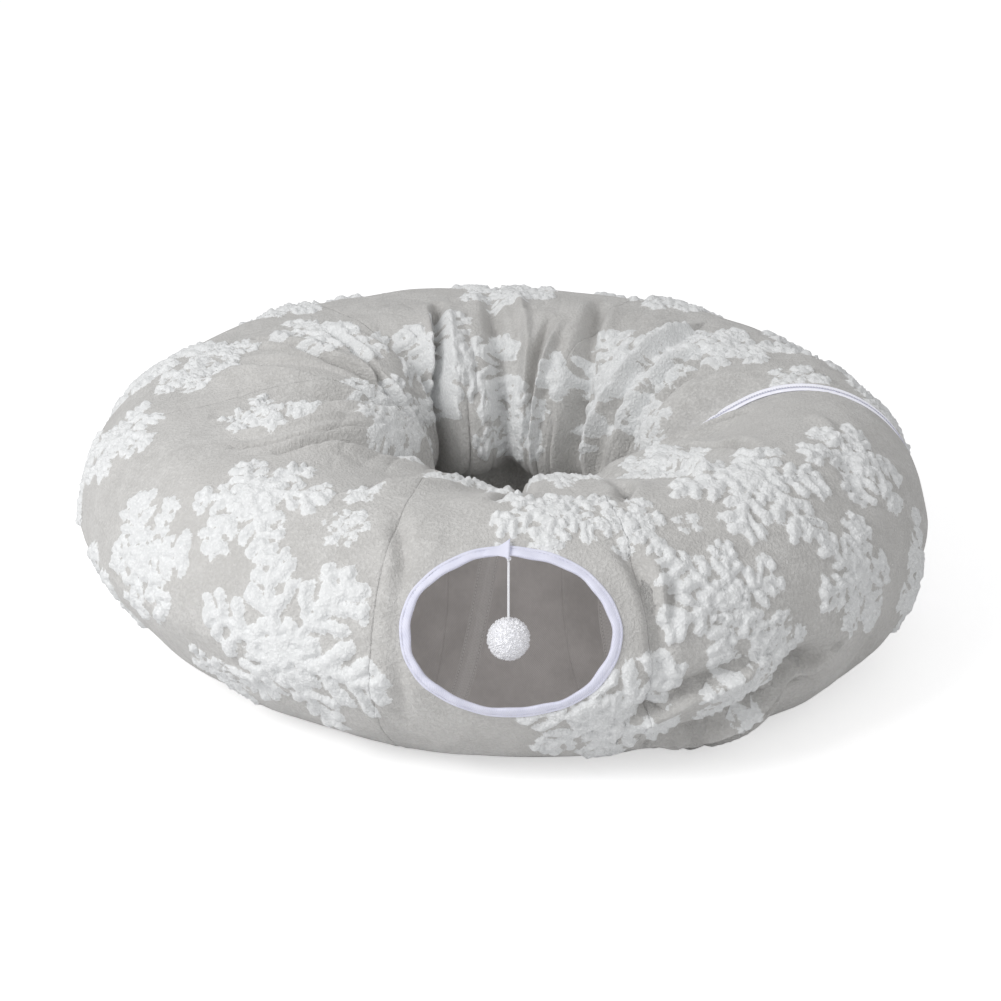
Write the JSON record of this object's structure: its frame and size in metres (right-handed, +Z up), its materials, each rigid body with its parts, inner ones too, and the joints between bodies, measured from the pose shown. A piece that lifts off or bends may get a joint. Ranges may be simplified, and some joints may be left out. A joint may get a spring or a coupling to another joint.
{
  "type": "donut cat tunnel",
  "caption": "Ring-shaped plush cat tunnel on a spiral spring, with a bound front entrance, a hanging pompom toy, a zip across the ring and a soft mat in the middle.",
  "frame": {"origin": "on the floor at the middle of the ring", "axes": "+Z up, the entrance faces -Y, +X to the right of someone who faces the entrance"},
  "size_m": [0.8884, 0.9087, 0.2606],
  "materials": {
    "plush": "short greige plush with raised white snowflake tufts",
    "lining": "thin taupe grey woven lining",
    "channel_tape": "taupe grey woven tape with stitched edges",
    "binding_tape": "smooth white tape with a lilac cast",
    "spring_steel": "hardened spring wire",
    "black_plastic": "moulded end cap",
    "zip_coil": "white nylon coil",
    "zip_metal": "white coated slider",
    "white_yarn": "white yarn",
    "filling": "polyester filling",
    "base_cloth": "dark non-slip cloth"
  },
  "bodies": {
    "tunnel": {"cover_front": "plush", "cover_front_right": "plush", "cover_back_right": "plush", "cover_back": "plush", "cover_back_left": "plush", "cover_front_left": "plush", "lining_front": "lining", "lining_front_right": "lining", "lining_back_right": "lining", "lining_back": "lining", "lining_back_left": "lining", "lining_front_left": "lining", "spring_wire": "spring_steel", "wire_cap_start": "black_plastic", "wire_cap_end": "black_plastic", "wire_channel": "channel_tape", "entrance_binding": "binding_tape", "binding_lap": "binding_tape", "zip_tape_front": "binding_tape", "zip_tape_back": "binding_tape", "zip_coil": "zip_coil", "zip_stop_low": "zip_coil", "zip_stop_high": "zip_coil", "mat_top": "plush", "mat_filling": "filling", "mat_base": "base_cloth"},
    "zip_slider": {"zip_slider": "zip_metal"},
    "zip_pull": {"zip_pull": "zip_metal"},
    "toy_knot": {"toy_knot": "white_yarn"},
    "toy": {"toy_cord": "white_yarn", "pompom": "white_yarn"}
  },
  "joints": [
    {"name": "zip_travel", "type": "hinge", "parent": "tunnel", "child": "zip_slider", "pos_m": [0.31781, -0.0111, 0.11933], "axis": [-0.0349, -0.9994, 0], "range_deg": [0, 128]},
    {"name": "zip_pull_swing", "type": "hinge", "parent": "zip_slider", "child": "zip_pull", "pos_m": [0.43062, -0.01504, 0.05416], "axis": [-0.0349, -0.9994, 0], "range_deg": [-25, 140]},
    {"name": "toy_in_out", "type": "hinge", "parent": "tunnel", "child": "toy_knot", "pos_m": [0, -0.39357, 0.22177], "axis": [1, 0, 0], "range_deg": [-45, 70]},
    {"name": "toy_sideways", "type": "hinge", "parent": "toy_knot", "child": "toy", "pos_m": [0, -0.39357, 0.22177], "axis": [0, 1, 0], "range_deg": [-50, 50]}
  ]
}
